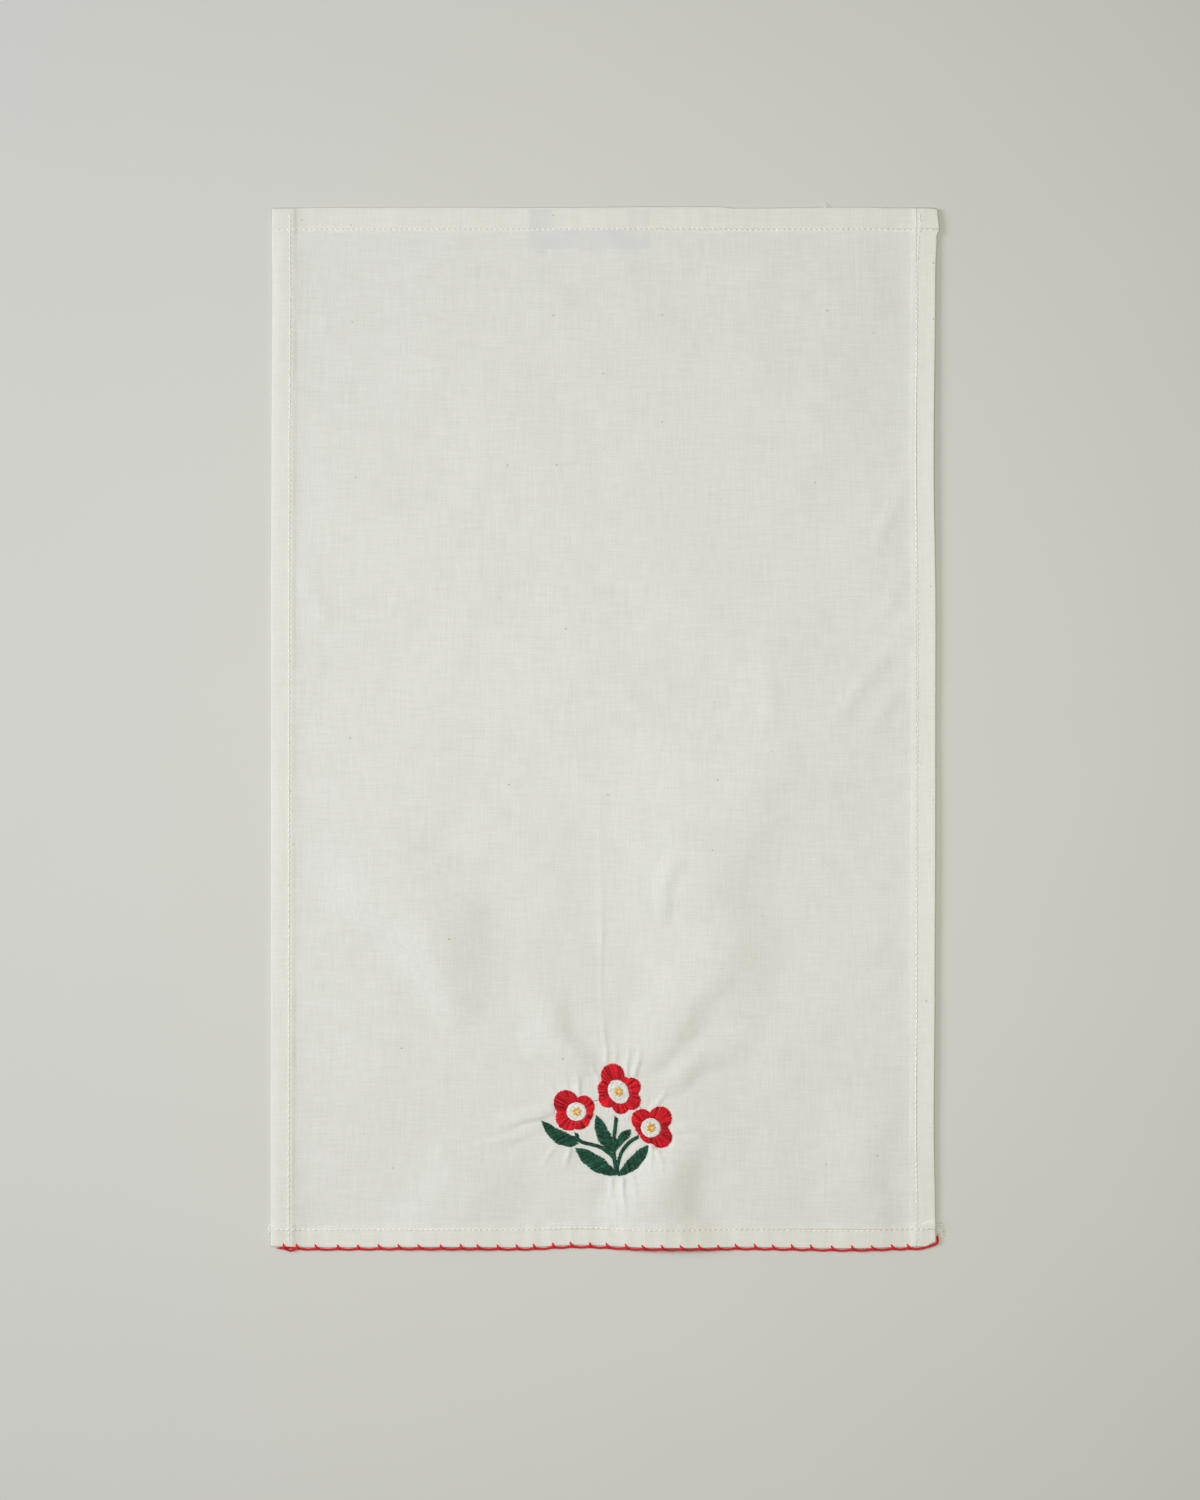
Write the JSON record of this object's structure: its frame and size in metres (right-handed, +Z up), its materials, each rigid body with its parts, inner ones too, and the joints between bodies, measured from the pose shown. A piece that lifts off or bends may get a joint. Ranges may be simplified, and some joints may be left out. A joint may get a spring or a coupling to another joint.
{
  "type": "tea towel",
  "caption": "Cotton cloth lying flat and face up, with turned hems, a blanket-stitched bottom edge, an embroidered flower sprig and a tape loop at the back.",
  "frame": {"origin": "on the surface that the towel lies on, under the middle of its bounding box", "axes": "+X across the towel to the right as it is seen face up, +Y along it from the edged bottom fold to the plain top hem, +Z up from the surface through the face"},
  "size_m": [0.4534, 0.7092, 0.0039],
  "materials": {
    "cotton": "matte, thin plain weave in unbleached off-white",
    "red_yarn": "soft two-ply yarn, slightly shiny",
    "loop_tape": "matte flat woven tape",
    "green_thread": "satin stitch, soft sheen",
    "red_thread": "satin stitch, soft sheen",
    "white_thread": "fill stitch, soft sheen",
    "yellow_thread": "raised stitches, soft sheen"
  },
  "bodies": {
    "root": {"cloth": "cotton", "edging": "red_yarn", "hanging_loop": "loop_tape", "stems": "green_thread", "leaf_far_left": "green_thread", "leaf_low_left": "green_thread", "leaf_inner_left": "green_thread", "leaf_inner_right": "green_thread", "leaf_low_right": "green_thread", "petals_left": "red_thread", "eye_left": "white_thread", "star_left": "yellow_thread", "petals_middle": "red_thread", "eye_middle": "white_thread", "star_middle": "yellow_thread", "petals_right": "red_thread", "eye_right": "white_thread", "star_right": "yellow_thread"}
  },
  "joints": []
}
